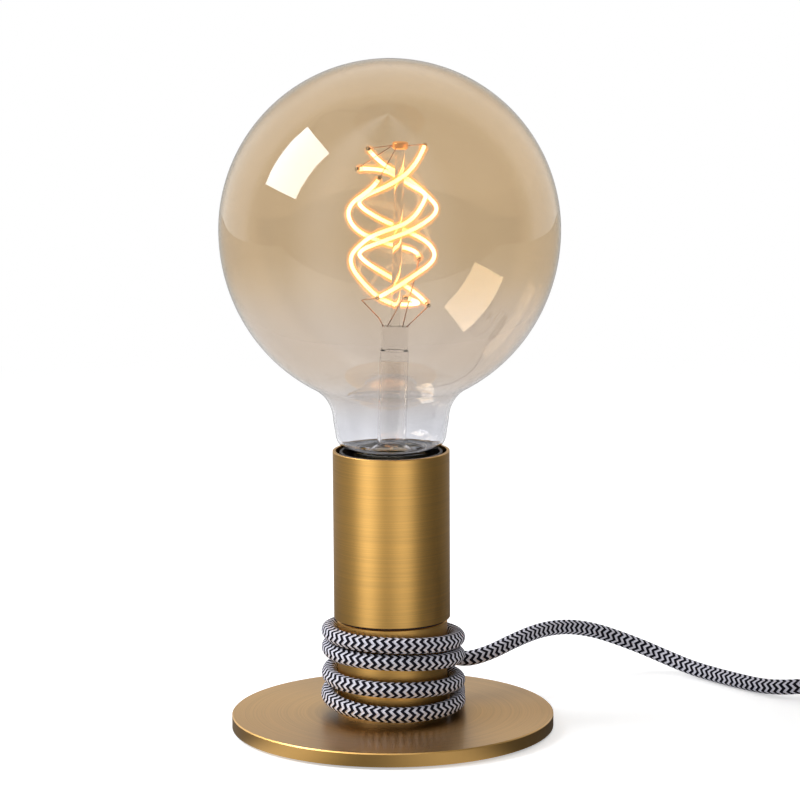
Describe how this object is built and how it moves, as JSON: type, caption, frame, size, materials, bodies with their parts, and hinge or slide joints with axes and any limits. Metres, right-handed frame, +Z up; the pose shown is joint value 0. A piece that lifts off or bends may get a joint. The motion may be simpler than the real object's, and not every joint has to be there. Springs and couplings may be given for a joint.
{
  "type": "bare bulb table lamp",
  "caption": "Table lamp: a large clear globe bulb in a slim brass tube on a flat round brass disc, with a patterned textile cord wound round its stem, an inline switch and a plug.",
  "frame": {"origin": "middle of the underside of the base pad, on the table top", "axes": "+Z up along the lamp's axis, -Y towards the front, +Y towards the cord outlet"},
  "size_m": [0.3585, 0.1746, 0.2489],
  "materials": {
    "brushed_brass": "brushed and clear lacquered, satin",
    "base_rubber": "matt",
    "grommet_rubber": "matt",
    "steel": "zinc plated",
    "black_spacer": "matt",
    "clamp_nylon": "moulded",
    "holder_plastic": "moulded, satin",
    "porcelain": "glazed",
    "contact_brass": "stamped",
    "cap_nickel": "nickel plated, rolled",
    "solder": "soldered, rough",
    "black_glass": "fused, glossy",
    "cap_cement": "dry, rough",
    "amber_glass": "blown, with a faint amber mirror coat on the upper part",
    "clear_glass": "clear, fire polished",
    "filament_glow": "glowing",
    "copper_puck": "satin",
    "circuit_board": "lacquered",
    "driver_black": "moulded",
    "tinned_wire": "tinned",
    "textile_cord": "braided in a black and pale grey zigzag",
    "core_brown": "smooth",
    "core_blue": "smooth",
    "tie_black": "hook and loop",
    "switch_plastic": "fine texture",
    "rocker_plastic": "smooth",
    "plug_plastic": "fine texture",
    "pin_nickel": "nickel plated"
  },
  "bodies": {
    "lamp": {"base_pad": "base_rubber", "base_plate": "brushed_brass", "base_screws": "steel", "centre_contact": "contact_brass", "coil_tie": "tie_black", "cord_clamp_bridge": "clamp_nylon", "cord_clamp_saddle": "clamp_nylon", "cord_clamp_screws": "steel", "cord_coil": "textile_cord", "cord_free": "textile_cord", "cord_inside": "textile_cord", "cord_out": "textile_cord", "cord_tail": "textile_cord", "cord_to_plug": "textile_cord", "cord_winding": "textile_cord", "holder_base": "holder_plastic", "holder_insert": "porcelain", "holder_lock_screw": "steel", "holder_skirt": "holder_plastic", "lamp_tube": "brushed_brass", "pin_sleeves": "plug_plastic", "pipe_nut": "steel", "pipe_washer": "steel", "plug_body": "plug_plastic", "plug_pins": "pin_nickel", "plug_relief": "grommet_rubber", "rocker_pin": "steel", "side_contact": "contact_brass", "spacer_disc": "black_spacer", "stem": "brushed_brass", "stem_grommet": "grommet_rubber", "switch_contacts": "contact_brass", "switch_lower": "switch_plastic", "switch_screws": "steel", "switch_upper": "switch_plastic", "terminal_blocks": "contact_brass", "terminal_screws": "steel", "threaded_pipe": "steel", "threaded_shell": "contact_brass", "wire_live": "core_brown", "wire_neutral": "core_blue"},
    "bulb_rise": {"cap_contact": "solder"},
    "bulb": {"cap_shell": "cap_nickel", "cap_insulator": "black_glass", "cap_cement": "cap_cement", "globe": "amber_glass", "glass_mount": "clear_glass", "glass_rod": "clear_glass", "filament_anchor": "copper_puck", "filament_strand_1": "filament_glow", "filament_strand_2": "filament_glow", "filament_strand_3": "filament_glow", "filament_strand_4": "filament_glow", "filament_end_caps": "cap_nickel", "filament_supports": "steel", "lead_wires": "steel", "driver_board": "circuit_board", "driver_parts": "driver_black", "driver_wires": "tinned_wire"},
    "rocker": {"switch_rocker": "rocker_plastic"}
  },
  "joints": [
    {"name": "bulb_lift", "type": "slide", "parent": "lamp", "child": "bulb_rise", "axis": [0, 0, 1], "range_m": [0, 0.01815]},
    {"name": "bulb_turn", "type": "hinge", "parent": "bulb_rise", "child": "bulb", "pos_m": [0, 0, 0.1], "axis": [0, 0, 1], "range_deg": [0, 1800]},
    {"name": "rocker_tip", "type": "hinge", "parent": "lamp", "child": "rocker", "pos_m": [0.202, 0.033, 0.0149], "axis": [0, 1, 0], "range_deg": [-16, 0]}
  ],
  "couplings": [
    {"joint": "bulb_lift", "follows": "bulb_turn", "m_per_rad": 0.00057757}
  ]
}
